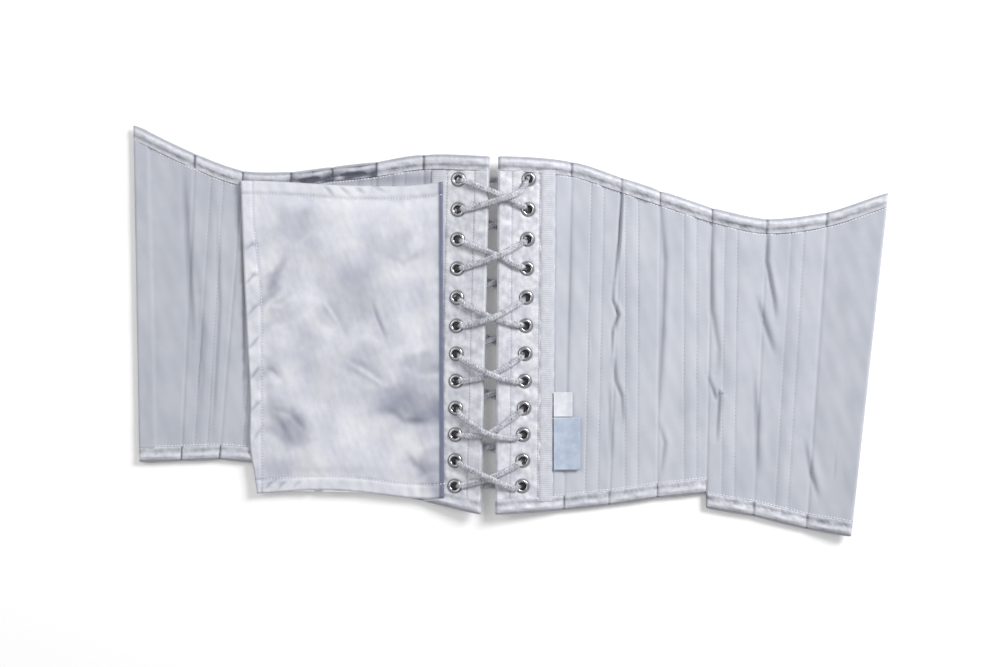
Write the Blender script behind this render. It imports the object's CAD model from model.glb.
import math

import bpy
import numpy as np
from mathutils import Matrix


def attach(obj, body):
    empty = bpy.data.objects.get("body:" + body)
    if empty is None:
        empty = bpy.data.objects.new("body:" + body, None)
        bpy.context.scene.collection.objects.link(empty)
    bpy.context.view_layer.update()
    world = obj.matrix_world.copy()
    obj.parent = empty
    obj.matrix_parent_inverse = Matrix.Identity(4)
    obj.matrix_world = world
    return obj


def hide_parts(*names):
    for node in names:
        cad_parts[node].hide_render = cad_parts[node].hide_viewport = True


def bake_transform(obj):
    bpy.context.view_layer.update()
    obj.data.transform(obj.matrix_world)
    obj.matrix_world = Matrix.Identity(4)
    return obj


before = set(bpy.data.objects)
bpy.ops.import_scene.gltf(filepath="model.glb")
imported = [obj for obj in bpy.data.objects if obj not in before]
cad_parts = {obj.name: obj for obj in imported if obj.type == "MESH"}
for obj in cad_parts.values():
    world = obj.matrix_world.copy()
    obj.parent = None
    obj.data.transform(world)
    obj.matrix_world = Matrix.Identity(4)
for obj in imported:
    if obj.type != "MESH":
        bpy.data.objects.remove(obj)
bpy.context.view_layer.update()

# Lumbar support belt, opened at the front and laid flat with the lining side up.
# Lengths below are in millimetres, as on the maker's pattern, and build() turns them into metres.
# Heights are above the floor side of the shell, and widths lie square to the seams.
MM = 0.001
PANELS = 7
LACING_TILT = math.radians(8.5)
PEG_TILT = math.radians(8.5)
LINING_TOP = 3.4
HEM_TOP = 4.4
HINGE_Z = 4.6
FACING_TOP = 4.0
HEM_W = 11.5
FACING_W = 45.0
FACING_ROWS = (11.0, 32.6)
TAPE_INSET = 33.5
TAPE_W = 11.5
PLACKET_W = 13.0
ROWS = 12
FIRST_ROW = 117.4
ROW_PITCH = 23.5
ROW_CLOSING = 0.37
EYELET_INSET = 23.8
EYELET_DRIFT = 3.1
FLANGE_R = 5.2
BORE_R = 2.9
WASHER_T = 0.6
LACE_W = 4.6
LACE_T = 3.0
FLAP_Z = 4.6
FLAP_T = 1.6
FOLD_REACH = 6.0

# Seam lines of each half from the lacing edge (0) to the front edge (7): x at top, x at bottom, y at top
SEAMS = {
    "left": np.array([[-16, -23, 135.3], [-67.5, -70.6, 136.9], [-104.1, -111.2, 131.4],
                      [-138.5, -148.6, 127.5], [-170.4, -186, 123.6], [-207.9, -226.6, 124.4],
                      [-245.3, -256.2, 137.7], [-293.7, -289, 160.3]]),
    "right": np.array([[-9.8, -12.1, 135.3], [48, 41.7, 131.4], [87, 76.8, 119],
                       [116.6, 114.3, 108.8], [157.2, 152.5, 95.6], [200.1, 189.2, 87],
                       [246.9, 230.5, 92.4], [293.5, 264.6, 107.3]]),
}
# Lower corners of each panel: y at its inner seam, y at its outer seam
LOWS = {
    "left": np.array([[-143.1, -132.2], [-132.2, -122.9], [-122.9, -114.3], [-114.3, -104.1],
                      [-104.1, -100.6], [-100.6, -101.8], [-101.8, -102.6]]),
    "right": np.array([[-143.1, -140], [-140, -136.1], [-136.1, -130.7], [-130.7, -126.8],
                       [-138.5, -144.7], [-144.7, -154.8], [-154.8, -160.3]]),
}
# Share of the panel's width at which its bone lies, at top and at bottom, panels 2 to 6
BONE_SHARE = [[0.52, 0.6], [0.26, 0.46], [0.58, 0.67], [0.35, 0.45], [0.52, 0.51]]
CHANNEL_HALF = 5.0
BONE_TOP = 2.8
DIR = {"left": -1, "right": 1}


# ---- small tools for arrays ----
def smooth(t):
    """Rises from 0 to 1 as t does, as 3 t^2 - 2 t^3, and stays there on both sides."""
    t = np.clip(t, 0, 1)
    return t * t * (3 - 2 * t)


def lerp(a, b, t):
    """The value a share t of the way from a to b."""
    return a + (b - a) * t


def bell(d, width):
    """exp(-(d / width)^2): 1 at d = 0, almost nothing two widths away."""
    return np.exp(-((d / width) ** 2))


def rolled(d, radius=1.6):
    """Quarter circle sqrt(1 - (1 - d / radius)^2): 0 at d = 0, and 1 from the radius on."""
    return np.sqrt(1 - (1 - np.clip(d / radius, 0, 1)) ** 2)


def ripple(x, y, size, seed):
    """Sum of seven sine waves of about the given length in mm, in directions and phases fixed by the seed."""
    rng = np.random.default_rng(seed)
    total = np.zeros(np.broadcast(x, y).shape)
    for _ in range(7):
        way = rng.uniform(0, 2 * math.pi)
        wave = 2 * math.pi / (size * rng.uniform(0.6, 1.7))
        total += np.sin((x * math.cos(way) + y * math.sin(way)) * wave + rng.uniform(0, 7))
    return total / 3.5


def spline(a, b, c, d, t):
    """Catmull-Rom curve from b to c."""
    return 0.5 * (2 * b + (c - a) * t + (2 * a - 5 * b + 4 * c - d) * t**2
                  + (3 * b - a - 3 * c + d) * t**3)


def from_line(x, y, line):
    """Signed distance from each point to a polyline, left of its heading positive, and the share of
    its length at the nearest point. Each segment is tried and the nearest one is kept."""
    line = np.asarray(line, float)
    legs = np.linalg.norm(np.diff(line, axis=0), axis=1)
    run = np.concatenate([[0], np.cumsum(legs)]) / legs.sum()
    best = np.full(np.shape(x), 1e9)
    side = np.zeros(np.shape(x))
    share = np.zeros(np.shape(x))
    for i, leg in enumerate(legs):
        a, b = line[i], line[i + 1]
        e = (b - a) / leg
        t = np.clip(((x - a[0]) * e[0] + (y - a[1]) * e[1]) / leg, 0, 1)
        px = x - a[0] - e[0] * t * leg
        py = y - a[1] - e[1] * t * leg
        d = np.hypot(px, py)
        near = d < best
        best = np.where(near, d, best)
        side = np.where(near, np.sign(e[0] * py - e[1] * px), side)
        share = np.where(near, lerp(run[i], run[i + 1], t), share)
    return best * np.where(side == 0, 1, side), share


def folds(x, y, lines):
    """Each fold is a groove of the given width and depth along its line, with a lip of half that
    height on its left, and both fade out towards the ends."""
    z = np.zeros(np.shape(x))
    for line, width, depth in lines:
        d, share = from_line(x, y, line)
        fade = np.sin(np.pi * np.clip(share, 0.02, 0.98)) ** 0.6
        z += depth * fade * (0.5 * bell(d - 2.2 * width, 1.6 * width) - bell(d, width))
    return z


# ---- the belt's pattern ----
def edge_top(side, u):
    """Upper edge u panels from the lacing edge: x straight between seams, y on a Catmull-Rom curve."""
    s = SEAMS[side]
    i = np.clip(np.floor(u).astype(int), 0, PANELS - 1)
    t = u - i
    y = np.concatenate([s[:1, 2], s[:, 2], [2 * s[7, 2] - s[6, 2]]])
    return np.stack([lerp(s[i, 0], s[i + 1, 0], t), spline(y[i], y[i + 1], y[i + 2], y[i + 3], t)], -1)


def edge_low(side, u):
    """Lower edge u panels from the lacing edge, straight from corner to corner of each panel."""
    s = SEAMS[side]
    i = np.clip(np.floor(u).astype(int), 0, PANELS - 1)
    t = u - i
    return np.stack([lerp(s[i, 1], s[i + 1, 1], t), lerp(LOWS[side][i, 0], LOWS[side][i, 1], t)], -1)


def spot(side, u, d):
    """The flat point d mm down from the upper edge, along the straight column at u."""
    a = edge_top(side, u)
    b = edge_low(side, u)
    e = (b - a) / np.linalg.norm(b - a, axis=-1, keepdims=True)
    return a + e * np.asarray(d)[..., None]


def length_at(side, u):
    """Length of the column at u."""
    return np.linalg.norm(edge_low(side, u) - edge_top(side, u), axis=-1)


def seam_ends(side, k):
    """Lower and upper end of seam k."""
    if k == 0:
        low = LOWS[side][0, 0]
    else:
        low = LOWS[side][k - 1, 1]
    s = SEAMS[side][k]
    return np.array([s[1], low]), np.array([s[0], s[2]])


def seam_x(side, k, y):
    """x of seam k at height y, on its straight line."""
    low, top = seam_ends(side, k)
    return lerp(top[0], low[0], (top[1] - y) / (top[1] - low[1]))


def off_seam(side, k, x, y):
    """Distance beyond seam k, away from the lacing edge, square to the seam."""
    a, b = seam_ends(side, k)
    e = (b - a) / np.linalg.norm(b - a)
    return -DIR[side] * (e[0] * (y - a[1]) - e[1] * (x - a[0]))


def turned(p, a, b, angle):
    """Each point turned about the line from a to b by its own angle, by Rodrigues' formula."""
    axis = (b - a) / np.linalg.norm(b - a)
    v = p - a
    c = np.cos(angle)[..., None]
    s = np.sin(angle)[..., None]
    return a + v * c + np.cross(axis, v) * s + axis * (v @ axis)[..., None] * (1 - c)


def stood(side, p):
    """The flat belt set up as it lies: panel 1 turned up about seam 1 so that the outer lace has
    room, and the right front panel turned up about seam 6 by its pegs. The turn grows over a few
    millimetres at the seam."""
    for k, tilt, way in ((1, LACING_TILT, DIR[side]), (6, PEG_TILT if side == "right" else 0, -1)):
        low, top = (np.append(q, HINGE_Z) for q in seam_ends(side, k))
        beyond = off_seam(side, k, p[..., 0], p[..., 1]) * (-1 if k == 1 else 1)
        p = turned(p, low, top, way * tilt * smooth(0.5 + beyond / FOLD_REACH))
    return p


def columns(side, first, last, step):
    """Shares u from first to last panel about step mm apart, doubled where the lower edge steps."""
    width = np.abs(edge_low(side, np.array([last - 1e-6])) - edge_low(side, np.array([first])))[0, 0]
    u = np.linspace(first, last, int(width / step) + 2)
    if side == "right" and first < 4 < last:
        u = np.sort(np.concatenate([u[np.abs(u - 4) > 0.01], [3.992, 4.0]]))
    u[-1] = min(u[-1], PANELS - 1e-9)
    return u


# ---- meshes ----
def sheet_faces(n, m, closed=False):
    """Quads of an n by m grid of points; closed joins the last column of points to the first."""
    i = np.arange(n - 1)[:, None]
    j = np.arange(m if closed else m - 1)[None, :]
    k = (j + 1) % m
    return np.stack([i * m + j, (i + 1) * m + j, (i + 1) * m + k, i * m + k], -1).reshape(-1, 4)


def build(name, parts, materials):
    """One object of several grids. Each part is (points in mm, faces, UV in mm, material number, and
    how deep in a fold or a seam each point lies, from 0 to 1)."""
    points = np.concatenate([p.reshape(-1, 3) for p, _, _, _, _ in parts]) * MM
    sizes = np.cumsum([0] + [p.reshape(-1, 3).shape[0] for p, _, _, _, _ in parts])
    faces = np.concatenate([f + o for (_, f, _, _, _), o in zip(parts, sizes)])
    cloth = np.concatenate([t.reshape(-1, 2) for _, _, t, _, _ in parts]) * MM
    number = np.concatenate([np.full(len(f), m) for _, f, _, m, _ in parts])
    depth = np.concatenate([np.broadcast_to(d, p.shape[:-1]).ravel() for p, _, _, _, d in parts])
    mesh = bpy.data.meshes.new(name)
    mesh.from_pydata(points, [], faces)
    layer = mesh.uv_layers.new(name="cloth")
    layer.data.foreach_set("uv", cloth[faces.ravel()].ravel())
    mesh.polygons.foreach_set("material_index", number)
    mesh.attributes.new("fold_depth", "FLOAT", "POINT").data.foreach_set("value", depth.astype(np.float32))
    for m in materials:
        mesh.materials.append(m)
    mesh.shade_smooth()
    mesh.validate()
    obj = bpy.data.objects.new(name, mesh)
    bpy.context.scene.collection.objects.link(obj)
    return obj


def cloth(obj, folds, *on):
    """Declares a piece as cloth laid on others. Its cut is the extent of its pattern in the UV map, as
    many times as long as it is folded double, and its area the sum over the faces there of half the
    cross product of the diagonals."""
    uv = np.empty(2 * len(obj.data.loops))
    obj.data.uv_layers["cloth"].data.foreach_get("uv", uv)
    uv = uv.reshape(-1, 4, 2)
    wide, long = (float(v) for v in np.ptp(uv.reshape(-1, 2), axis=0))
    long *= folds


def join(obj):
    """Bends a piece of one half across seam k, over a short reach square to the seam."""
    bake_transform(obj)


# ---- materials ----
def linear(text):
    """sRGB hex to linear: c / 12.92 below 0.04045, ((c + 0.055) / 1.055)^2.4 above."""
    c = [int(text[i:i + 2], 16) / 255 for i in (1, 3, 5)]
    return tuple(v / 12.92 if v <= 0.04045 else ((v + 0.055) / 1.055) ** 2.4 for v in c) + (1.0,)


def add(tree, kind, inputs=(), **settings):
    """Adds one node, applies its settings, and sets or links its inputs, given by name or number."""
    node = tree.nodes.new("ShaderNode" + kind)
    for key, value in settings.items():
        setattr(node, key, value)
    for key, value in dict(inputs).items():
        socket = node.inputs[key]
        if isinstance(value, bpy.types.NodeSocket):
            tree.links.new(value, socket)
        else:
            socket.default_value = value
    return node


def material(name, **finish):
    """A material with one Principled shader, its fixed sockets set directly."""
    mat = bpy.data.materials.new(name)
    mat.use_nodes = True
    tree = mat.node_tree
    shader = next(n for n in tree.nodes if n.type == "BSDF_PRINCIPLED")
    for key, value in finish.items():
        shader.inputs[key.replace("_", " ")].default_value = value
    return mat, tree, shader


def woven(name, deep, dark, light, thread, relief, patch, slubs=0.1, soft=0.2, **finish):
    """Cloth from its own UV map in metres. Two crossed wave patterns of the thread spacing in mm make
    the weave. A noise of patches of the given size in mm, with a share of small slubs, mixes the dark
    and the light colour over a range of soft, and the deep colour fills folds and seams."""
    mat, tree, shader = material(name, **finish)
    uv = add(tree, "UVMap", uv_map="cloth").outputs["UV"]
    broad = add(tree, "TexNoise", {"Vector": uv, "Scale": 1 / (patch * MM), "Detail": 6.0, "Roughness": 0.55})
    long = add(tree, "Mapping", {"Vector": uv, "Scale": (1.0, 0.3, 1.0)}, vector_type="POINT")
    fine = add(tree, "TexNoise", {"Vector": long.outputs[0], "Scale": 1 / (1.6 * MM), "Detail": 3.0})
    share = add(tree, "Math", {0: fine.outputs[0], 1: slubs}, operation="MULTIPLY")
    both = add(tree, "Math", {0: broad.outputs[0], 1: 1 - slubs, 2: share.outputs[0]},
               operation="MULTIPLY_ADD")
    ramp = add(tree, "MapRange", {"Value": both.outputs[0], "From Min": 0.5 - soft / 2,
                                  "From Max": 0.5 + soft / 2}, interpolation_type="SMOOTHSTEP")
    mix = add(tree, "Mix", {"Factor": ramp.outputs[0], 6: linear(dark), 7: linear(light)}, data_type="RGBA")
    fold = add(tree, "Attribute", attribute_name="fold_depth")
    sunk = add(tree, "Mix", {"Factor": fold.outputs["Fac"], 6: mix.outputs[2], 7: linear(deep)},
               data_type="RGBA")
    tree.links.new(sunk.outputs[2], shader.inputs["Base Color"])
    pitch = 2 * math.pi / 20 / (thread * MM)
    warp = add(tree, "TexWave", {"Vector": uv, "Scale": pitch, "Distortion": 0.6}, bands_direction="X")
    weft = add(tree, "TexWave", {"Vector": uv, "Scale": pitch, "Distortion": 0.6}, bands_direction="Y")
    cross = add(tree, "Math", {0: warp.outputs["Fac"], 1: weft.outputs["Fac"]}, operation="MULTIPLY")
    lumps = add(tree, "Math", {0: fine.outputs[0], 1: cross.outputs[0]}, operation="ADD")
    bump = add(tree, "Bump", {"Height": lumps.outputs[0], "Strength": 0.4, "Distance": relief * MM})
    tree.links.new(bump.outputs[0], shader.inputs["Normal"])
    return mat


def metal(name, colour, rough, scratch):
    """Metal from Object coordinates: stretched noise of the given grain in mm roughens it unevenly."""
    mat, tree, shader = material(name, Metallic=1.0, Roughness=rough)
    shader.inputs["Base Color"].default_value = linear(colour)
    place = add(tree, "TexCoord").outputs["Object"]
    grain = add(tree, "TexNoise", {"Vector": place, "Scale": 1 / (scratch * MM), "Detail": 4.0})
    spread = add(tree, "MapRange", {"Value": grain.outputs[0], "To Min": rough * 0.7, "To Max": rough * 1.4})
    tree.links.new(spread.outputs[0], shader.inputs["Roughness"])
    bump = add(tree, "Bump", {"Height": grain.outputs[0], "Strength": 0.15, "Distance": 0.05 * MM})
    tree.links.new(bump.outputs[0], shader.inputs["Normal"])
    return mat


def plastic(name, dark, light, cloud):
    """Plastic sheet from Object coordinates: noise of the given size in mm clouds it between two
    colours and lifts its face a little."""
    mat, tree, shader = material(name, Roughness=0.45)
    place = add(tree, "TexCoord").outputs["Object"]
    noise = add(tree, "TexNoise", {"Vector": place, "Scale": 1 / (cloud * MM), "Detail": 4.0})
    mix = add(tree, "Mix", {"Factor": noise.outputs[0], 6: linear(dark), 7: linear(light)}, data_type="RGBA")
    tree.links.new(mix.outputs[2], shader.inputs["Base Color"])
    bump = add(tree, "Bump", {"Height": noise.outputs[0], "Strength": 0.2, "Distance": 0.05 * MM})
    tree.links.new(bump.outputs[0], shader.inputs["Normal"])
    return mat


# Polyester satin, woven with long floats: a soft shine, mottled grey-lavender where it buckles
SATIN = woven("polyester_satin_woven", "#454858", "#c3c5cf", "#dadbe2", 0.5, 0.10, 8.0, 0.3, 0.5,
              Roughness=0.36, Sheen_Weight=0.2, Sheen_Roughness=0.4)
# The same satin on the flap, pressed flat over its stiffener: broad soft patches on a bright ground
FLAP_SATIN = woven("polyester_satin_pressed", "#656b82", "#cbcdd8", "#e0e1e6", 0.5, 0.08, 30.0, 0.12, 0.3,
                   Roughness=0.36, Sheen_Weight=0.2, Sheen_Roughness=0.4)
# Satin of the facing beside the lacing, the brightest cloth on the belt
FACING_SATIN = woven("polyester_satin_facing", "#1f2026", "#bbbdc7", "#d9dadf", 0.5, 0.08, 9.0, 0.2, 0.3,
                     Roughness=0.4, Sheen_Weight=0.2, Sheen_Roughness=0.4)
# Cotton coutil, herringbone woven: matt and even, with fine slubs
COUTIL = woven("cotton_coutil_woven", "#6c6f7e", "#b4b8c2", "#bec1ca", 0.7, 0.06, 45.0, 0.1, 0.3,
               Roughness=0.85, Sheen_Weight=0.15, Sheen_Roughness=0.5)
# Grosgrain tape, ribbed weft: rows of fine ribs with shade between them
GROSGRAIN = woven("polyester_grosgrain_woven", "#8e909e", "#bdbfc9", "#cfd0d7", 0.5, 0.1, 6.0, 0.2, 0.4,
                  Roughness=0.6)
# Braided polyester lace, flat and limp: pale plaits with dark flecks between them
BRAID = woven("polyester_cord_braided", "#3c3e49", "#9698a3", "#dadbe1", 0.6, 0.1, 1.5, 0.5, 0.35,
              Roughness=0.6, Sheen_Weight=0.3, Sheen_Roughness=0.5)
# Spun polyester sewing thread: the lining's rows a tone darker than the cloth, the hem's brighter
THREAD = woven("polyester_thread_spun", "#83869a", "#8c8fa0", "#a2a5b3", 0.3, 0.05, 3.0, Roughness=0.6)
BRIGHT_THREAD = woven("polyester_thread_white", "#9a9cab", "#d6d8e0", "#eceef3", 0.3, 0.05, 3.0,
                      Roughness=0.5)
# Damask woven label ribbon, white and pale blue
LABEL_WHITE = woven("label_ribbon_white", "#8c8f99", "#d0d3da", "#dcdee4", 0.35, 0.05, 8.0, Roughness=0.6)
LABEL_BLUE = woven("label_ribbon_blue", "#7f8896", "#a7b3c7", "#b4c0d1", 0.35, 0.05, 8.0, Roughness=0.6)
# Nickel plated brass, stamped and rolled: bright rims and dark reflections
NICKEL = metal("nickel_plated_brass_stamped", "#c2c2c6", 0.24, 0.6)
# The inside of the barrels, tarnished where the lace runs
TARNISH = metal("nickel_tarnished_in_the_barrel", "#1d1d20", 0.6, 0.6)
# Galvanised spring steel of the bones, and brushed steel of the busk
BONE_STEEL = metal("galvanised_spring_steel", "#b8babd", 0.38, 1.5)
BUSK_STEEL = metal("brushed_busk_steel", "#c4c4c6", 0.3, 0.8)
# Polypropylene sheet inside the flap, cut from a roll: no cloth, so it reads Object coordinates
STIFFENER = plastic("polypropylene_sheet_cut", "#c9cbd0", "#dddee1", 6.0)


# ---- lining ----
LINING_FOLDS = {
    "right": [
        ([(87, 118), (84.2, 70), (80, 35.5)], 1.1, 1.9),
        ([(79.6, 36), (79.2, 23.8), (83.9, 12.1), (79.2, 0.4), (78.4, -18)], 1.2, 1.7),
        ([(80, -24), (81.8, -40.2), (86.2, -51.5), (87.4, -72)], 1.5, 1.2),
        ([(76.3, -44), (76.9, -60), (77.8, -100)], 1.7, 0.9),
        ([(116, -74), (119.7, -88), (116.6, -112)], 1.6, 1.0),
        ([(228.9, -86), (233.6, -112), (239, -130)], 1.8, 1.2),
        ([(116, 104), (119.7, 55), (118, 0), (115, -60)], 1.8, 1.2),
        ([(157.2, 90), (155.6, 62.8), (156.4, 16), (161.9, -15.2), (160.5, -34)], 2.0, 1.3),
        ([(152.6, -34), (160, -53.4), (162.6, -49.5), (160, -86)], 1.4, 1.4),
        ([(200.1, 80), (199.3, 53.4), (204.8, 23.8), (206, 10)], 1.5, 1.6),
        ([(192.3, 23.8), (198, 4), (205, -18)], 2.0, 1.4),
        ([(189.2, -34), (191.2, -66), (192.3, -116)], 2.2, 1.2),
        ([(46, 110), (45, 20), (43, -60)], 2.0, 0.5),
    ],
    "left": [
        ([(-254.7, 125), (-251, 60), (-247.5, -6)], 2.6, 1.5),
        ([(-246, 60), (-241, 0), (-242, -60)], 2.6, 0.8),
        ([(-208.5, 108), (-206.5, 20), (-208, -60)], 1.6, 1.1),
        ([(-229, 96), (-227, 20), (-232, -80)], 1.4, 0.7),
    ],
}


def channel_lines(side):
    """Upper and lower end of each bone's line, flat, for panels 2 to 6."""
    return [(edge_top(side, np.array([i + 1 + f])).ravel(), edge_low(side, np.array([i + 1 + g])).ravel())
            for i, (f, g) in enumerate(BONE_SHARE)]


def lining_height(side, x, y):
    """Top of the lining: its flat level, a low ridge (1 - (d / half)^2)^2 over each bone, a groove
    under each stitch row, a groove along each seam, the folds, and long shallow waves."""
    z = np.full(np.shape(x), LINING_TOP)
    bone = np.full(np.shape(x), 1e3)
    for line in channel_lines(side):
        d = np.abs(from_line(x, y, line)[0])
        bone = np.minimum(bone, d)
        z += 0.45 * np.clip(1 - (d / CHANNEL_HALF) ** 2, 0, 1) ** 2 - 0.4 * bell(d - CHANNEL_HALF, 0.6)
    for k in range(1, PANELS):
        z -= 0.55 * bell(off_seam(side, k, x, y), 1.0)
    z += folds(x, y, LINING_FOLDS[side])
    z += 0.5 * ripple(x, y * 0.25, 34, 5) + 0.2 * ripple(x, y * 0.4, 13, 6)
    front = np.abs(off_seam(side, PANELS, x, y))
    cover = (bone < 4.4) | (front < 18)
    z = np.where(cover, np.maximum(z, BONE_TOP + 0.25), z)
    z = np.where(np.abs(off_seam(side, 0, x, y)) < FACING_W + 0.6, np.minimum(z, BONE_TOP + 0.15), z)
    return z


def fold_shade(side, x, y):
    """Depth in a fold or seam, from 0 to 1: the sum of the folds' grooves and a share of the seams',
    and the cloth greys a little towards the front edges, where it is handled, and along the flap."""
    z = -folds(x, y, LINING_FOLDS[side])
    for k in range(1, PANELS):
        z += 0.25 * bell(off_seam(side, k, x, y), 0.7)
    grey = 0.09 * smooth((np.abs(x) - 130) / 130)
    by_flap = 0.5 * bell(y - 118, 5) * smooth((x + 186) / 20) * smooth((-50 - x) / 8)
    return np.clip(np.clip(z * 0.3, 0, 0.75) + grey + by_flap, 0, 0.9)


def stitches(path, rise, long=1.6, wide=0.75, tall=0.35):
    """Short threads at points (x, y, heading): each is four rings of three points, the middle ones
    raised by the half sine of their place along and across."""
    along = np.array([-0.5, -0.22, 0.22, 0.5])[:, None]
    across = np.array([-0.5, 0, 0.5])[None, :]
    swell = np.array([0, 1, 1, 0])[:, None] * np.array([0.2, 1, 0.2])[None, :]
    c = np.cos(path[:, 2])[:, None, None]
    s = np.sin(path[:, 2])[:, None, None]
    x = path[:, 0][:, None, None] + c * along * long - s * across * wide
    y = path[:, 1][:, None, None] + s * along * long + c * across * wide
    z = rise(path[:, 0], path[:, 1])[:, None, None] - 0.1 + tall * swell + 0 * x
    p = np.stack([x, y, z], -1)
    f = sheet_faces(4, 3)[:, ::-1][None] + (np.arange(len(path)) * 12)[:, None, None]
    return p, f.reshape(-1, 4)


def rows_down(side, first, last, pitch=2.9):
    """Places of the stitches of both rows beside each bone whose u lies in the piece."""
    out = []
    for i, (f, g) in enumerate(BONE_SHARE):
        for shift in (-CHANNEL_HALF, CHANNEL_HALF):
            a = edge_top(side, np.array([i + 1 + f]))[0]
            b = edge_low(side, np.array([i + 1 + g]))[0]
            long = np.linalg.norm(b - a)
            t = np.arange(HEM_W + 1.5, long - HEM_W - 1.5, pitch) / long
            p = lerp(a, b, t[:, None])
            p[:, 0] += shift
            middle = i + 1 + lerp(f, g, t) + shift * DIR[side] / np.abs(
                edge_top(side, np.array([i + 2.0]))[0, 0] - edge_top(side, np.array([i + 1.0]))[0, 0])
            keep = (middle >= first) & (middle < last)
            way = math.atan2(b[1] - a[1], b[0] - a[0])
            out.append(np.column_stack([p[keep], np.full(keep.sum(), way)]))
    return np.concatenate(out)


def rows_along(side, first, last, drop, pitch=2.4):
    """Places of the stitches of the rows that follow the upper and the lower hem at a distance drop."""
    out = []
    for at_top in (True, False):
        u = np.linspace(first + 1e-6, min(last, PANELS - 1e-6) - 1e-6, 400)
        d = np.full(u.shape, drop) if at_top else length_at(side, u) - drop
        p = spot(side, u, d)
        run = np.concatenate([[0], np.cumsum(np.linalg.norm(np.diff(p, axis=0), axis=1))])
        at = np.interp(np.arange(pitch / 2, run[-1], pitch), run, np.arange(len(u)))
        q = np.stack([np.interp(at, np.arange(len(u)), p[:, j]) for j in (0, 1)], -1)
        e = np.gradient(q, axis=0)
        out.append(np.column_stack([q, np.arctan2(e[:, 1], e[:, 0])]))
    return np.concatenate(out)


def lining_piece(side, k):
    """Lining from the middle of panel k to the middle of panel k + 1, tucked under both hems, its
    border rolled down in a quarter circle where the piece ends at the belt's own edge."""
    first = 0 if k == 1 else k - 0.5
    last = PANELS if k == PANELS - 1 else k + 0.5
    u = columns(side, first, last, 0.8)
    long = length_at(side, u)
    v = np.linspace(0, 1, 190)
    d = HEM_W - 1.5 + (long[:, None] - 2 * HEM_W + 3) * v
    flat = spot(side, u[:, None] + 0 * d, d)
    x, y = flat[..., 0], flat[..., 1]
    z = lining_height(side, x, y)
    if k == PANELS - 1:
        edge = np.linalg.norm(flat - flat[-1:], axis=-1)
        if side == "left":
            z += 0.75 * smooth((PLACKET_W + 1.5 - edge) / 3)
        foot = 3.0 if side == "left" else 0.6
        z = foot + (z - foot) * rolled(edge)
    edges = (v < 0.004) | (v > 0.996)
    z = np.where(edges[None, :], z - 0.8, z)
    p = stood(side, np.dstack([x, y, z]))
    parts = [(p, sheet_faces(*x.shape)[:, :: -DIR[side]], flat, 0, fold_shade(side, x, y))]
    for places, slot in ((rows_down(side, first, last), 1), (rows_along(side, first, last, HEM_W + 1.0), 2)):
        q, f = stitches(places, lambda a, b: lining_height(side, a, b))
        parts.append((stood(side, q.reshape(-1, 3)), f, q[..., :2].reshape(-1, 2), slot, 0))
    obj = build(f"lining_{side}_at_seam_{k}", parts, [COUTIL, THREAD, BRIGHT_THREAD])
    join(obj)
    return obj


# ---- shell ----
def puff(u):
    """Fullness of the hem between its cross seams: (4 f (1 - f))^0.3 of the share f of the panel."""
    f = u - np.floor(u)
    return np.clip(4 * f * (1 - f), 0, 1) ** 0.3


# How dark the stitched-down band of each panel's upper and lower hem lies in its puckers
HEM_SHADE = {
    "left": [(0.5, 0.5), (0.62, 0.4), (0.95, 0.4), (1.0, 0.4), (0.7, 0.45), (0.5, 0.5), (0.55, 0.5)],
    "right": [(0.6, 0.55), (0.5, 0.6), (0.5, 0.5), (0.55, 0.45), (0.65, 0.6), (0.55, 0.55), (0.5, 0.65)],
}


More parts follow.
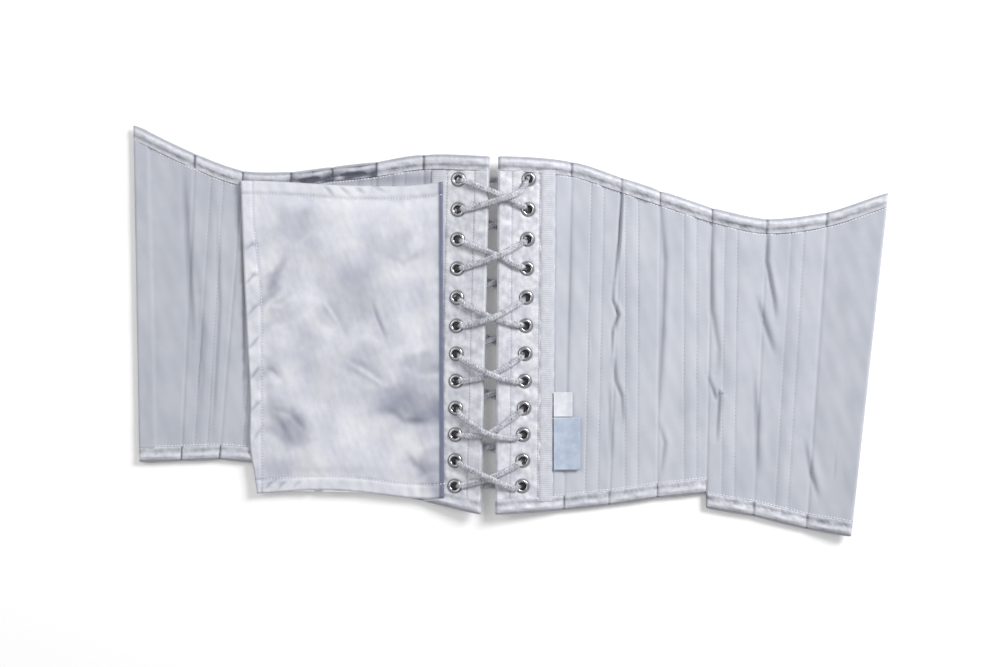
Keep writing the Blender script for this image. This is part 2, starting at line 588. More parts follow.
def hem(side, u, at_top):
    """One hem of the shell from its inner edge over the crown and rim to the outer face, as distance
    in from the belt's edge, height, and depth of shade. The crown stands by the half sine of its
    place in the outer two thirds times the puff of its panel; the inner third is stitched down and
    puckered; each panel seam draws the hem in."""
    long = length_at(side, u)[:, None]
    full = puff(u)[:, None]
    q = np.concatenate([[1.0], np.linspace(1, 0.13, 20)])[None, :]
    rim = np.linspace(90, 262, 9)[None, :] * math.pi / 180
    d = q * HEM_W * np.ones_like(long)
    d_rim = 1.5 + np.cos(rim) * (1.5 + 1.1 * (full - 0.7))
    flat = spot(side, u[:, None] + 0 * d, d if at_top else long - d)
    x, y = flat[..., 0], flat[..., 1]
    roll = np.sin(np.pi * np.clip(q / 0.72, 0, 1)) ** 0.8
    crease = ripple(x, y, 5, 13)
    z = HEM_TOP - 0.2 + roll * (1.2 + 0.45 * ripple(x, y, 12, 12)) * full - 0.8 * (1 - full)
    z += 0.14 * crease * (q > 0.6) + 0.06 * crease
    z[:, 0] = LINING_TOP - 0.4
    z[:, 15:] = lerp(z[:, 15:], HEM_TOP - 0.25, smooth((np.arange(15, 21) - 15) / 5))
    mid = (HEM_TOP - 0.25) / 2
    z_rim = mid + np.sin(rim) * (mid - 0.2 * (1 - full)) * 0.98
    panel = np.clip(np.floor(u).astype(int), 0, PANELS - 1)
    dark = np.array(HEM_SHADE[side])[panel, 0 if at_top else 1][:, None]
    run = np.concatenate([[0], np.cumsum(np.linalg.norm(np.diff(flat[:, 0], axis=0), axis=1))])[:, None]
    streak = ripple(run * 0.3, q * HEM_W * 1.4, 5, 14)
    band = bell(q - 0.74, 0.1 + 0.14 * dark) * (0.75 + 0.25 * streak) * dark
    band += 0.65 * smooth((dark - 0.55) / 0.4) * (0.5 + 0.35 * streak) + 0.3 * bell(q - 0.15, 0.07)
    seam = np.abs(u - np.round(u)) * (np.abs(SEAMS[side][7, 0] - SEAMS[side][0, 0]) / PANELS)
    sewn = (u > 0.5) & (u < PANELS - 0.5)
    cross = (0.9 if side == "left" else 0.6) * (bell(seam, 0.8) * sewn)[:, None]
    shade = np.clip(band + cross + 0.12 * np.clip(-crease, 0, 1), 0, 0.95)
    return (np.concatenate([d, d_rim], 1), np.concatenate([z, z_rim], 1),
            np.concatenate([shade, np.clip(cross + 0.45, 0, 0.95) * np.ones_like(d_rim)], 1))


def shell_piece(side, k):
    """Satin shell round seam k as one closed profile: the upper hem's inner edge, its crown and rim,
    the outer face, the lower hem, and back inside. Over the busk loops the outer face is the
    placket's and stands higher."""
    first = 0 if k == 1 else k - 0.5
    last = PANELS if k == PANELS - 1 else k + 0.5
    u = columns(side, first, last, 1.0)
    long = length_at(side, u)[:, None]
    d_top, z_top, shade_top = hem(side, u, True)
    d_low, z_low, shade_low = hem(side, u, False)
    under = np.linspace(0.02, 0.98, 60)[None, :] * long
    flat = spot(side, u[:, None] + 0 * under, under)
    ridge = lining_height(side, flat[..., 0], flat[..., 1]) - LINING_TOP
    z_under = np.clip(-0.35 * ridge * smooth(under / 12) * smooth((long - under) / 12), -0.1, 0.45) + 0.02
    inner = np.array([[HEM_W - 0.3, 3.0], [2.4, 3.0], [1.6, 2.0], [2.6, 1.0]])
    d_in = inner[:, 0] * np.ones_like(long)
    z_in = inner[:, 1] * np.ones_like(long)
    d = np.concatenate([d_top, under, long - d_low[:, ::-1], long - d_in, d_in[:, ::-1]], 1)
    z = np.concatenate([z_top, z_under, z_low[:, ::-1], z_in, z_in[:, ::-1]], 1)
    none = np.zeros_like(z_under)
    shade = np.concatenate([shade_top, none, shade_low[:, ::-1], z_in * 0, z_in * 0], 1)
    flat = spot(side, u[:, None] + 0 * d, d)
    if k == PANELS - 1 and side == "left":
        edge = np.linalg.norm(flat - flat[-1:], axis=-1)
        z = np.maximum(z, 2.95 * smooth((PLACKET_W + 0.5 - edge) / 1.0))
    for at, on in ((0, k == 1), (-1, k == PANELS - 1)):
        if on:
            edge = np.linalg.norm(flat - flat[at][None], axis=-1)
            foot = 3.1 if side == "left" and at else 0.7
            z = foot + (z - foot) * rolled(edge)
    p = stood(side, np.dstack([flat, z]))
    obj = build(f"shell_{side}_at_seam_{k}",
                [(p, sheet_faces(*d.shape, closed=True)[:, :: -DIR[side]], flat, 0, shade)], [SATIN])
    join(obj)
    return obj


# ---- facing, tape and eyelets ----
def eyelet_at(side, k):
    """Flat place of the eyelet of row k: rows close up by the same amount each time, and the column
    draws nearer the sloping lacing edge towards the last row."""
    y = FIRST_ROW - k * ROW_PITCH + ROW_CLOSING * k * (k - 1) / 2
    inset = EYELET_INSET - EYELET_DRIFT * k / (ROWS - 1)
    return np.array([seam_x(side, 0, y) + DIR[side] * inset, y])


def facing_height(side, x, y):
    """Top of the facing: flat, pressed down by each eyelet as the bell of how far r lies beyond 4.6,
    sunk a little more inside its bore, grooved under its stitch rows, and puckered between them."""
    low, top = seam_ends(side, 0)
    inset = DIR[side] * (x - seam_x(side, 0, y))
    z = np.full(np.shape(x), FACING_TOP)
    for k in range(ROWS):
        e = eyelet_at(side, k)
        r = np.hypot(x - e[0], y - e[1])
        z -= 0.45 * bell(np.maximum(r - 4.6, 0), 1.8) + 0.4 * smooth((BORE_R + 0.8 - r) / 0.6)
        z += 0.14 * np.cos(9 * np.arctan2(y - e[1], x - e[0]) + k) * bell(r - 8.5, 2.2)
    for row in FACING_ROWS:
        z -= 0.3 * bell(inset - row, 0.8)
    z += 0.35 * ripple(x, y, 13, 21) * smooth(inset / 6) + 0.1 * ripple(x, y, 5, 22)
    reach = np.minimum(top[1] - y, y - low[1])
    return z - 0.9 * smooth((HEM_W + 1 - reach) / 2.5)


def facing_shade(side, x, y):
    """Depth of shade on the facing: full inside each bore, a thin dark ring where the flange presses
    into it, and a little along its stitch rows."""
    inset = DIR[side] * (x - seam_x(side, 0, y))
    shade = sum(0.16 * bell(inset - row, 0.6) for row in FACING_ROWS)
    for k in range(ROWS):
        e = eyelet_at(side, k)
        r = np.hypot(x - e[0], y - e[1])
        shade = shade + 0.9 * bell(r - FLANGE_R - 0.15, 0.45) + smooth((BORE_R + 1.2 - r) / 0.6)
    return np.clip(shade, 0, 1)


def facing(side):
    """Facing from the lacing edge inwards, its free edge rolled over the lacing edge in a quarter
    circle, with its two stitch rows."""
    low, top = seam_ends(side, 0)
    w = np.concatenate([[0, 0.15, 0.4, 0.8, 1.2], np.linspace(1.8, FACING_W, 76), [FACING_W + 0.1]])
    y = np.linspace(top[1] - HEM_W + 1, low[1] + HEM_W - 1, 430)
    line = seam_x(side, 0, y)
    x = line[None, :] + DIR[side] * w[:, None]
    y = y[None, :] + 0 * x
    z = facing_height(side, x, y)
    foot = 0.6
    z = foot + (z - foot) * rolled(w)[:, None]
    z[-1] -= 0.9
    p = stood(side, np.dstack([x, y, z]))
    parts = [(p, sheet_faces(*x.shape)[:, :: -DIR[side]], np.dstack([x, y]), 0, facing_shade(side, x, y))]
    for row in FACING_ROWS:
        at = np.arange(top[1] - HEM_W - 2, low[1] + HEM_W + 2, -2.4)
        sx = seam_x(side, 0, at) + DIR[side] * row
        q, f = stitches(np.column_stack([sx, at, 0 * at + math.pi / 2]),
                        lambda a, b: facing_height(side, a, b))
        parts.append((stood(side, q.reshape(-1, 3)), f, q[..., :2].reshape(-1, 2), 1, 0))
    obj = build(f"lacing_facing_{side}", parts, [FACING_SATIN, THREAD])
    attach(obj, f"{side}_panel_1")
    return obj


def ribbed_tape(side):
    """Tape beside the eyelets: rounded borders and ribs of |cos| profile across it, 1.5 mm apart."""
    low, top = seam_ends(side, 0)
    w = np.linspace(0, 1, 13)
    y = np.arange(top[1] - HEM_W + 1, low[1] + HEM_W - 1, -0.3)
    line = seam_x(side, 0, y)
    x = line[None, :] + DIR[side] * (TAPE_INSET + TAPE_W * w[:, None])
    y = y[None, :] + 0 * x
    round_ = (1 - np.abs(2 * w - 1) ** 6)[:, None]
    rib = np.abs(np.cos(math.pi * y / 1.5))
    z = FACING_TOP - 0.1 + 0.55 * round_ + 0.22 * rib * round_
    p = stood(side, np.dstack([x, y, z]))
    shade = 0.35 * (1 - rib) ** 2 + 0.3 * (1 - round_)
    obj = build(f"ribbed_tape_{side}",
                [(p, sheet_faces(*x.shape)[:, :: -DIR[side]], np.dstack([x, y]), 0, shade)], [GROSGRAIN])
    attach(obj, f"{side}_panel_1")
    return obj


def eyelet_set(side):
    """Twelve turned profiles: a rolled flange, the bore and the washer, closed behind, each with a
    thin dark sleeve inside its bore."""
    a = np.linspace(0, math.pi, 8)
    mid, half = (BORE_R + FLANGE_R) / 2, (FLANGE_R - BORE_R) / 2
    flange = np.stack([mid + half * np.cos(a), FACING_TOP - 0.3 + 1.15 * np.sin(a) ** 0.8], -1)
    washer = np.stack([mid - half * np.cos(a), 0.0 - WASHER_T * np.sin(a)], -1)
    back = np.array([[BORE_R + 0.4, 0.05], [BORE_R + 0.4, FACING_TOP - 0.4]])
    outer, inner = BORE_R + 0.14, BORE_R - 0.1
    barrel = np.array([[outer, FACING_TOP + 0.1], [inner, FACING_TOP - 0.1], [inner, -0.2], [outer, -0.3]])
    w = np.linspace(0, 2 * math.pi, 33)[:-1]
    parts = []
    for k in range(ROWS):
        e = eyelet_at(side, k)
        for profile, finish in ((np.concatenate([flange, washer, back]), 0), (barrel, 1)):
            ring = np.stack([e[0] + np.cos(w)[:, None] * profile[None, :, 0],
                             e[1] + np.sin(w)[:, None] * profile[None, :, 0],
                             0 * w[:, None] + profile[None, :, 1]], -1)
            ring = np.concatenate([ring, ring[:1]])
            faces = sheet_faces(33, len(profile), closed=True)
            parts.append((stood(side, ring), faces, ring[..., :2], finish, 0))
    obj = build(f"rolled_eyelets_{side}", parts, [NICKEL, TARNISH])
    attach(obj, f"{side}_panel_1")
    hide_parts(f"eyelets_{side}")
    return obj


# ---- lace ----
HIGH_H = FACING_TOP + 0.7 + 0.15 + LACE_T / 2
LOW_H = -WASHER_T - 0.15 - LACE_T / 2
INNER_Z = (13.9, 17.0)
OUTER_Z = (1.6, 4.8)
TOP_STRAND = (1, 1, 1, 0, 0, 0)


def crossing(n, k):
    """Where strand n crosses the other after row k: midway between four eyelets, above or below."""
    inner = k % 2 == 0
    xy = sum(eyelet_at(s, j) for s in ("left", "right") for j in (k, k + 1)) / 4
    xy = xy + (CROSS_SHIFT[k // 2] if inner else 0)
    on_top = TOP_STRAND[k // 2] == n if inner else n == 0
    return np.append(xy, (INNER_Z if inner else OUTER_Z)[1 if on_top else 0])


def eyelet_pass(n, k):
    """Points of strand n through the eyelet of row k, from its upper crossing to its lower one: out
    of the bore on the side of the gap, over the flange, and away towards the crossing."""
    side = ("left", "right")[(k + n) % 2]
    hole = eyelet_at(side, k)
    inward = -DIR[side]
    legs = []
    for j in (k - 1, k):
        high = j % 2 == 0
        level = HIGH_H if high else LOW_H
        if 0 <= j < ROWS - 1:
            way = crossing(n, j)[:2] - hole
        else:
            way = np.array([inward * 1.0, 0.0])
        way = way / np.linalg.norm(way)
        turn = np.array([0.0, LACE_SAG[side][k] if high else 0.0])
        sag = -1 if high else 1
        legs.append(np.array([
            [hole[0] + inward * 1.35, hole[1] - 0.3, level * 0.42],
            [hole[0] + inward * 1.5 + way[0] * 0.3, hole[1] - 0.3 + way[1] * 0.3, level * 0.8],
            [*(hole + way * 3.6 + turn * 0.35), level + 0.1 * sag],
            [*(hole + way * 9.0 + turn), level + 0.3 * sag]]))
    return stood(side, np.concatenate([legs[0][::-1], legs[1]]))


# How far each inner crossing lies from the middle of its four eyelets, and how far the lace sags
# below the straight line where it leaves each eyelet on the lining side
CROSS_SHIFT = np.array([[10.4, -2.7], [4.2, -1.5], [0.9, -4.9], [0.9, -5.6], [-1.4, -9.5], [0.8, -3.4]])
LACE_SAG = {"left": (0.4, -1.6, -0.6, -1.4, -1.8, -1.6, -1.4, -1.2, -2.4, -1.0, -0.6, -1.0),
            "right": (-3.6, -0.4, -0.5, -1.4, -0.8, -1.0, -0.6, -1.6, -0.8, -3.0, -0.8, -3.4)}


def lace_route():
    """The whole lace as one closed loop of points: strand 1 down, across the outer side below the
    last row, strand 0 up, and across the outer side above the first row."""
    strands = []
    for n in (0, 1):
        points = []
        for k in range(ROWS):
            points.append(eyelet_pass(n, k))
            if k < ROWS - 1:
                points.append(crossing(n, k)[None, :])
        strands.append(np.concatenate(points))
    return np.concatenate([strands[1], strands[0][::-1]])


def lace():
    """A flattened tube along a closed Catmull-Rom curve. Its width lies level, always on the same
    side, smoothed along the lace. The plaits raise it by |sin| of the length less the distance
    from the middle, which makes a herringbone, and it narrows inside the eyelets."""
    p = lace_route()
    q = [np.roll(p, s, axis=0) for s in (1, 0, -1, -2)]
    t = np.linspace(0, 1, 14)[:-1][None, :, None]
    path = spline(*(a[:, None, :] for a in q), t).reshape(-1, 3)
    steps = np.linalg.norm(np.diff(np.vstack([path, path[:1]]), axis=0), axis=1)
    run = np.concatenate([[0], np.cumsum(steps)])
    count = int(run[-1] / 0.55)
    at = np.arange(count) * run[-1] / count
    path = np.stack([np.interp(at, run, np.append(path[:, j], path[0, j])) for j in range(3)], -1)
    ahead = np.roll(path, -2, axis=0) - np.roll(path, 2, axis=0)
    heading = ahead / np.linalg.norm(ahead, axis=1, keepdims=True)
    level = np.stack([-heading[:, 1], heading[:, 0]], -1)
    level *= np.sign(level[:, 1:] + 1e-9)
    kernel = np.hanning(19) / np.hanning(19).sum()
    level = np.stack([np.convolve(np.concatenate([level[-9:, j], level[:, j], level[:9, j]]), kernel, "valid")
                      for j in (0, 1)], -1)
    wide = np.column_stack([level, np.zeros(count)])
    wide -= heading * np.sum(wide * heading, axis=1, keepdims=True)
    wide /= np.linalg.norm(wide, axis=1, keepdims=True)
    thick = np.cross(heading, wide)
    holes = np.array([stood(s, np.append(eyelet_at(s, k), 2.0)[None])[0]
                      for s in ("left", "right") for k in range(ROWS)])
    near = np.min(np.linalg.norm(path[:, None, :] - holes[None], axis=2), axis=1)
    squeeze = 1 - 0.52 * smooth((6.4 - near) / 3.0)[:, None]
    w = np.linspace(0, 2 * math.pi, 25)[None, :-1]
    s = at[:, None]
    plait = np.abs(np.sin(math.pi * (s / 2.3 - 0.75 * np.abs(np.cos(w))))) ** 0.7
    swell = 0.88 + 0.2 * plait - 0.1 * bell(np.cos(w), 0.12)
    r_w = LACE_W / 2 * squeeze * swell
    r_t = LACE_T / 2 * 0.8 * swell * (1 - 0.12 * np.cos(2 * w))
    ring = path[:, None] + (wide[:, None] * (r_w * np.cos(w))[..., None]
                            + thick[:, None] * (r_t * np.sin(w))[..., None])
    ring = np.concatenate([ring, ring[:1]])
    uv = np.stack(np.broadcast_arrays(w * 1.2 + 0 * s, s), -1)
    uv = np.concatenate([uv, uv[:1]])
    shade = 0.85 * (1 - plait) ** 1.5 + 0.25 * bell(np.cos(w), 0.15)
    shade = shade * (0.75 + 0.5 * ripple(s, w * 2, 4, 61)) + smooth((5.6 - near) / 2)[:, None]
    shade = np.clip(shade, 0, 1)
    shade = np.concatenate([shade, shade[:1]])
    obj = build("braided_lace", [(ring, sheet_faces(*ring.shape[:2], closed=True), uv, 0, shade)], [BRAID])
    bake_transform(obj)
    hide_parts("lace")
    return run[-1]


# ---- flap ----
FLAP_ROOT = np.array([[-52.2, 114.3], [-51.2, -129.9]])
FLAP_FREE = np.array([[-210.0, 116.6], [-197.0, -126.8]])
FLAP_HEM = {"top": 9.5, "low": 10.5}
# Bow of the upper and lower edge off the straight line, as share of the way from the root, and mm
FLAP_BOW = [((0, 1.5), (0.315, -3.0), (0.59, -1.9), (1, 0)),
            ((0, 0), (0.107, -1.2), (0.42, 2.4), (0.69, 3.6), (1, 0))]
FLAP_FOLDS = [
    ([(-107.5, 22), (-103, 8), (-97, -6)], 1.3, 0.8),
    ([(-129, -25), (-114, -33), (-97, -45)], 2.0, -0.7),
    ([(-146, 22), (-139, 12), (-134, 4)], 1.6, -0.5),
    ([(-190, 24), (-184, 38), (-177, 52)], 4.0, 0.5),
    ([(-189, 18), (-178, 17), (-166, 26)], 2.5, -0.6),
    ([(-191, -28), (-184, -32), (-178, -38)], 2.0, 0.6),
    ([(-188, -62), (-178, -72), (-170, -88)], 3.0, 0.6),
    ([(-188, -60), (-172, -64), (-158, -78)], 2.4, 0.6),
    ([(-84, -92), (-74, -104), (-64, -112)], 3.0, 0.7),
    ([(-96, -60), (-82, -70), (-62, -71)], 3.4, 0.9),
    ([(-100, 60), (-84, 52), (-66, 62)], 3.0, 0.5),
    ([(-207, 62), (-201, 67), (-196, 66)], 1.3, 1.0),
    ([(-207, 35), (-200, 43), (-195, 43)], 1.3, 1.2),
    ([(-205, 11), (-199, 18), (-195, 21)], 1.3, 1.1),
    ([(-204, -15), (-199, -9), (-195, -4)], 1.3, 1.1),
    ([(-203, -39), (-198, -32), (-195, -28)], 1.3, 1.1),
    ([(-202, -63), (-197, -57), (-194, -55)], 1.3, 1.0),
    ([(-200, -86), (-197, -80), (-194, -76)], 1.2, 0.8),
    ([(-146, 113), (-141, 108), (-138, 104)], 1.2, 0.6),
    ([(-134, 113), (-129, 108), (-125, 105)], 1.2, 0.6),
    ([(-122, 113), (-118, 109), (-113, 106)], 1.2, 0.6),
    ([(-108, 113), (-103, 110), (-97, 107)], 1.2, 0.6),
    ([(-192, -125), (-187, -119), (-182, -116)], 1.2, 0.9),
    ([(-182, -125), (-178, -120), (-174, -117)], 1.1, 0.7),
    ([(-170, -124), (-167, -120), (-163, -117)], 1.1, 0.6),
]
# Places where the pressed satin buckles and turns grey: x, y, half length, half width, heading in
# degrees, and strength
FLAP_BUCKLES = [
    (-168, 82, 20, 12, 25, 0.3), (-154, 56, 22, 14, -20, 0.26), (-184, 38, 20, 6, 58, 0.36),
    (-120, 30, 26, 22, -40, 0.34), (-88, 62, 26, 10, -15, 0.26), (-136, 14, 18, 11, -45, 0.32),
    (-143, -34, 34, 16, -20, 0.22), (-116, -28, 20, 14, -30, 0.3), (-78, -58, 27, 15, -14, 0.62),
    (-66, -27, 17, 8, -5, 0.34), (-172, -76, 20, 11, -52, 0.46), (-65, -104, 12, 9, -40, 0.42),
    (-177, -109, 18, 10, 10, 0.2), (-56, -124, 8, 12, 60, 0.3), (-178, 12, 17, 8, 12, 0.24),
    (-187, -31, 9, 5, -25, 0.3), (-106, 44, 20, 12, -60, 0.24), (-70, 20, 10, 22, 0, 0.12),
    (-96, 4, 12, 16, 20, 0.2), (-160, -8, 16, 9, -30, 0.14),
]


def buckles(x, y):
    """Grey of the buckled satin: the largest of the buckles' bells exp(-r^2), r the distance over each
    one's half length and width after both coordinates are shaken by small ripples."""
    gx = x + 5 * ripple(x, y, 26, 71) + 1.1 * ripple(x, y, 9, 72)
    gy = y + 5 * ripple(x, y, 26, 73) + 1.1 * ripple(x, y, 9, 74)
    total = np.zeros(np.shape(x))
    for cx, cy, long, wide, heading, strength in FLAP_BUCKLES:
        c, s = math.cos(math.radians(heading)), math.sin(math.radians(heading))
        along = ((gx - cx) * c + (gy - cy) * s) / long
        across = (-(gx - cx) * s + (gy - cy) * c) / wide
        total = np.maximum(total, strength * bell(np.hypot(along, across) ** 1.3, 1.3))
    return total


def flap_edge(x, at_top):
    """Height on the pattern of the flap's upper or lower edge at x: a straight line and the polynomial
    through its bow's points."""
    j = 0 if at_top else 1
    t = (x - FLAP_ROOT[j, 0]) / (FLAP_FREE[j, 0] - FLAP_ROOT[j, 0])
    share, bow = np.array(FLAP_BOW[j]).T
    return lerp(FLAP_ROOT[j, 1], FLAP_FREE[j, 1], t) + np.polyval(np.polyfit(share, bow, len(share) - 1), t)


def free_bow(y):
    """How far the free edge stands out from its straight line: half a sine, and a bulge low down."""
    t = (FLAP_FREE[0, 1] - y) / np.ptp(FLAP_FREE[:, 1])
    return -1.4 * np.sin(math.pi * np.clip(t, 0, 1)) - 3.0 * bell(t - 0.84, 0.1)


def free_row(y):
    """x of the stitch row along the free edge: it runs in by 7 mm over the upper third."""
    return -200.9 + 7.1 * smooth((109.6 - y) / 100)


def leaf_lines():
    """x at top and at bottom of the flap's root, its seams and its free edge, and of the middles."""
    ends = [FLAP_ROOT[:, 0]]
    for k in range(1, 5):
        ends.append(seam_x("left", k, FLAP_ROOT[:, 1]))
    return ends + [FLAP_FREE[:, 0]]


def flap_height(x, y):
    """Upper face of the flap, the distance to its nearest edge, and its depth of shade: a hem that
    stands along three edges, a groove under its stitch row, broad soft buckles, fine ripples and
    the sharp puckers of the hems."""
    top = flap_edge(x, True) - y
    low = y - flap_edge(x, False)
    free = x - free_bow(y) - lerp(*FLAP_FREE[:, 0], (FLAP_FREE[0, 1] - y) / np.ptp(FLAP_FREE[:, 1]))
    root = lerp(FLAP_ROOT[0, 0], FLAP_ROOT[1, 0], (FLAP_ROOT[0, 1] - y) / np.ptp(FLAP_ROOT[:, 1])) - x
    free_w = free - (x - free_row(y))
    z = np.full(np.shape(x), FLAP_Z + FLAP_T)
    inside = smooth((root - 1) / 12)
    rows = 0
    for d, w in ((top, FLAP_HEM["top"]), (free, free_w), (low, FLAP_HEM["low"])):
        z += 0.45 * smooth((w - d) / 2.0) - 0.4 * bell(d - w - 0.6, 0.8)
        inside = inside * smooth((d - w) / 12)
        rows = rows + 0.3 * bell(d - w - 0.6, 0.7)
    z += inside * (1.0 + 0.6 * ripple(x, y, 62, 31) + 0.32 * ripple(x, y, 27, 32) + 0.1 * ripple(x, y, 9, 35))
    z += (1 - inside) * (0.25 * ripple(x, y, 9, 33) + 0.2 * ripple(x, y, 22, 34))
    crease = folds(x, y, FLAP_FOLDS)
    shut = np.minimum.reduce([top, low, free, root])
    edge = 0.9 * bell(np.maximum(root - 2.6, 0), 0.9) + 0.2 * bell(root, 9) + 0.3 * bell(shut, 0.9)
    streaks = 0.05 * np.clip(ripple(x * 0.75 + y * 0.75, (y - x) * 0.22, 6, 77), 0, 1)
    shade = rows + 0.4 * np.clip(-crease, 0, 1) + edge + 1.1 * buckles(x, y) + streaks
    shade = np.clip(shade, 0, 0.95)
    return np.maximum(z + crease, FLAP_Z + FLAP_T - 0.15), shut, shade


def flap_piece(k):
    """Flap round its seam k (0 is its root) as one closed loop per column: the upper face down, the
    lower face back, drawn together in a half circle at the edges."""
    lines = leaf_lines()
    mids = [lines[0]] + [(lines[j] + lines[j + 1]) / 2 for j in range(4)] + [lines[5]]
    a, b = mids[k], mids[k + 1]
    n = int(abs(b - a).max() / 1.1) + 2
    t = np.linspace(0, 1, n)
    xt, xb = lerp(a[0], b[0], t), lerp(a[1], b[1], t)
    yt, yb = flap_edge(xt, True), flap_edge(xb, False)
    v = (1 - np.cos(np.linspace(0, math.pi, 220))) / 2
    v = lerp(v, np.linspace(0, 1, 220), 0.9)
    x = lerp(xt[:, None], xb[:, None], v)
    y = lerp(yt[:, None], yb[:, None], v)
    x = x + (free_bow(y) * t[:, None] ** 2 if k == 4 else 0)
    z, shut, shade = flap_height(x, y)
    near = rolled(shut, 1.3)
    mid = FLAP_Z + 0.8
    upper = mid + (z - mid) * near
    lower = mid + (FLAP_Z + 0.15 - mid) * near
    loop_x = np.concatenate([x, x[:, ::-1]], 1)
    loop_y = np.concatenate([y, y[:, ::-1]], 1)
    loop_z = np.concatenate([upper, lower[:, ::-1]], 1)
    p = stood("left", np.dstack([loop_x, loop_y, loop_z]))
    depth = np.concatenate([shade, 0 * shade], 1)
    parts = [(p, sheet_faces(*loop_x.shape, closed=True), np.dstack([loop_x, loop_y]), 0, depth)]
    q, f = stitches(flap_rows(a, b), lambda c, d: flap_height(c, d)[0])
    parts.append((stood("left", q.reshape(-1, 3)), f, q[..., :2].reshape(-1, 2), 1, 0))
    obj = build(f"flap_at_seam_{k}", parts, [FLAP_SATIN, BRIGHT_THREAD])
    if k == 0:
        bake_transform(obj)
        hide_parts("flap_cover_1")
    else:
        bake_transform(obj)
        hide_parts(f"flap_cover_{k + 1}")
    return obj


def flap_rows(a, b):
    """Places of the hem stitches that lie between the lines a and b."""
    out = []
    x = np.arange(min(a.min(), b.min()), max(a.max(), b.max()), 2.4)
    for at_top, inset in ((True, FLAP_HEM["top"] + 0.6), (False, FLAP_HEM["low"] + 0.6)):
        j = 0 if at_top else 1
        keep = (x < max(a[j], b[j])) & (x > max(min(a[j], b[j]), FLAP_FREE[j, 0] + 6))
        y = flap_edge(x[keep], at_top) + (-inset if at_top else inset)
        out.append(np.column_stack([x[keep], y, 0 * y]))
    y = np.arange(FLAP_FREE[1, 1] + 6, FLAP_FREE[0, 1] - 6, 2.4)
    t = (FLAP_FREE[0, 1] - y) / np.ptp(FLAP_FREE[:, 1])
    xx = free_row(y) + 0.6
    keep = (xx >= lerp(*np.minimum(a, b), t)) & (xx < lerp(*np.maximum(a, b), t))
    out.append(np.column_stack([xx[keep], y[keep], 0 * y[keep] + math.pi / 2]))
    return np.concatenate(out)


# ---- labels ----
def label(name, node, low, high, lift, mat, slot):
    """A ribbon laid from the facing onto the lining: a closed loop per column of an upper and a lower
    face, its free edges curled up a little by the fourth power of the distance from its middle."""
    cx, cy = (low[0] + high[0]) / 2, (low[1] + high[1]) / 2
    x = np.linspace(low[0], high[0], 26)
    y = np.linspace(high[1], low[1], 40)
    gx, gy = np.meshgrid(x, y, indexing="ij")
    ex, ey = 2 * (gx - cx) / (high[0] - low[0]), 2 * (gy - cy) / (high[1] - low[1])
    z = HEM_TOP + lift + 0.25 * np.abs(ex) ** 4 + 0.15 * np.abs(ey) ** 6 + 0.1 * ripple(gx, gy, 16, 41)
    z -= 0.25 * bell(ex + 0.82, 0.06)
    pair = [np.dstack([gx, gy, z + 0.35]), np.dstack([gx, gy, z])[:, ::-1]]
    loop = np.concatenate(pair, 1)
    ends = loop.copy()
    middle = np.concatenate([z, z[:, ::-1]], 1) + 0.17
    ends[[0, -1], :, 2] = middle[[0, -1]]
    p = stood("right", ends)
    obj = build(name, [(p, sheet_faces(*loop.shape[:2], closed=True)[:, ::-1], loop[..., :2], 0, 0)], [mat])
    join(obj)
    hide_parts(node)
    cloth(obj, 2, "lacing_facing_right", "lining_right_at_seam_1")


# ---- camera, light and floor ----
def make_camera():
    """Straight above the belt, 1.6 m up; the lens frames a width of 780 mm on the floor."""
    data = bpy.data.cameras.new("camera")
    data.sensor_width = 36
    data.lens = 36 * 1.6 / 0.78
    cam = bpy.data.objects.new("camera", data)
    cam.location = (-0.0082, -0.0023, 1.6)
    bpy.context.scene.collection.objects.link(cam)
    bpy.context.scene.camera = cam


def lamp(name, place, size, power):
    """A square soft lamp that looks at the belt's middle."""
    data = bpy.data.lights.new(name, "AREA")
    data.size = size
    data.energy = power
    obj = bpy.data.objects.new(name, data)
    obj.location = place
    length = math.hypot(*place)
    obj.rotation_euler = (math.acos(place[2] / length), 0, math.atan2(place[1], place[0]) + math.pi / 2)
    bpy.context.scene.collection.objects.link(obj)


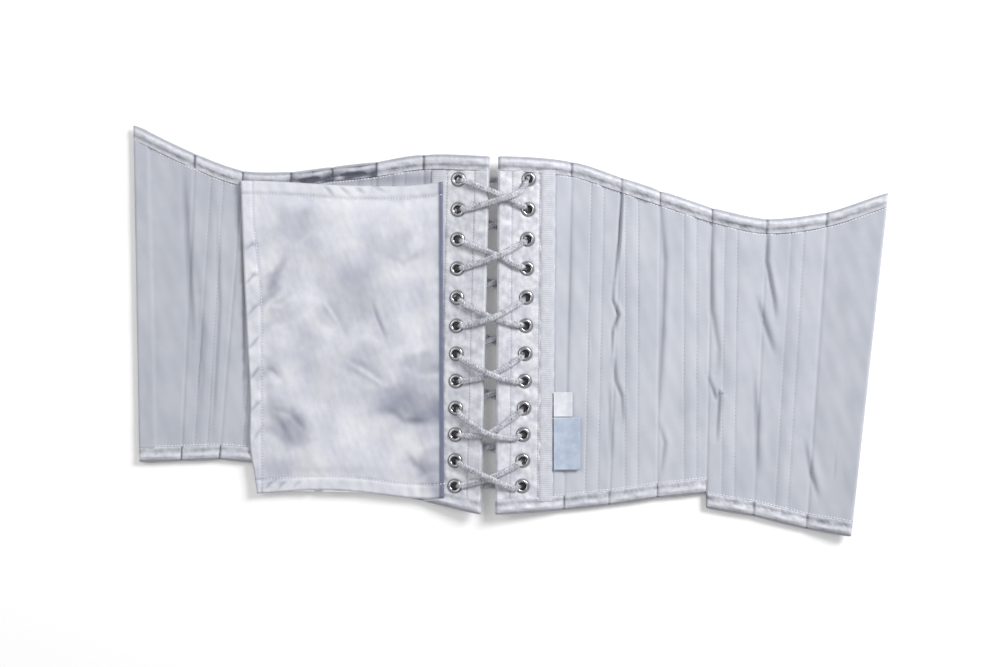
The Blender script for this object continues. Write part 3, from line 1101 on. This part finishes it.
def make_stage():
    """White floor and world, with soft lamps above the upper right, the left and the front."""
    lamp("key", (1.4, 1.0, 1.2), 0.8, 44)
    lamp("fill", (-1.2, 0.4, 1.3), 1.2, 9)
    world = bpy.data.worlds.new("studio")
    bpy.context.scene.world = world
    world.use_nodes = True
    world.node_tree.nodes["Background"].inputs["Color"].default_value = (1, 1, 1, 1)
    world.node_tree.nodes["Background"].inputs["Strength"].default_value = 0.4
    mat, tree, shader = material("floor_white_paper", Roughness=0.9)
    shader.inputs["Base Color"].default_value = linear("#f7f7f7")
    ray = add(tree, "LightPath")
    seen = add(tree, "Math", {0: ray.outputs["Is Camera Ray"], 1: ray.outputs["Is Glossy Ray"]},
               operation="MAXIMUM")
    glow = add(tree, "Emission", {"Strength": 0.1})
    dark = add(tree, "Emission", {"Strength": 0.0})
    pick = add(tree, "MixShader", {0: seen.outputs[0], 1: dark.outputs[0], 2: glow.outputs[0]})
    total = add(tree, "AddShader", {0: shader.outputs[0], 1: pick.outputs[0]})
    out = next(n for n in tree.nodes if n.type == "OUTPUT_MATERIAL")
    tree.links.new(total.outputs[0], out.inputs["Surface"])
    half = 3.0
    mesh = bpy.data.meshes.new("floor")
    mesh.from_pydata([(-half, -half, -0.0008), (half, -half, -0.0008), (half, half, -0.0008),
                      (-half, half, -0.0008)], [], [(0, 1, 2, 3)])
    mesh.materials.append(mat)
    floor = bpy.data.objects.new("floor", mesh)
    bpy.context.scene.collection.objects.link(floor)


make_camera()
make_stage()
bpy.context.scene.view_settings.view_transform = "Standard"
lace_length = lace()
for side in ("left", "right"):
    for k in range(1, PANELS):
        piece = lining_piece(side, k)
        panels = [k, PANELS] if k == PANELS - 1 else [k]
        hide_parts(*(f"lining_{side}_{n}" for n in panels))
        cloth(piece, 1, f"shell_{side}_at_seam_{k}")
        piece = shell_piece(side, k)
        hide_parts(*(f"shell_{side}_{n}" for n in panels))
        if side == "left" and k == PANELS - 1:
            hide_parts("busk_placket")
        cloth(piece, 2)
    piece = facing(side)
    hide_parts(f"back_facing_{side}")
    cloth(piece, 1, f"lining_{side}_at_seam_1")
    cloth(ribbed_tape(side), 1, f"lacing_facing_{side}")
    eyelet_set(side)
for k in range(5):
    cloth(flap_piece(k), 2, f"lining_left_at_seam_{k + 1}")
SMALL = ((33.3, -67.0), (48.1, -48.0))
LARGE = ((33.3, -108.5), (54.3, -67.5))
label("size_ribbon", "size_label", *SMALL, 0.75, LABEL_WHITE, "label_white")
label("care_ribbon", "care_label", *LARGE, 0.75, LABEL_BLUE, "label_blue")
for node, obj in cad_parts.items():
    steel = {"spiral": BONE_STEEL, "flat": BONE_STEEL, "busk": BUSK_STEEL}.get(node.split("_")[0])
    finish = STIFFENER if node.startswith("flap_stiffener") else steel
    if finish:
        for s in obj.material_slots:
            s.material = finish
print("lace length mm", round(lace_length))
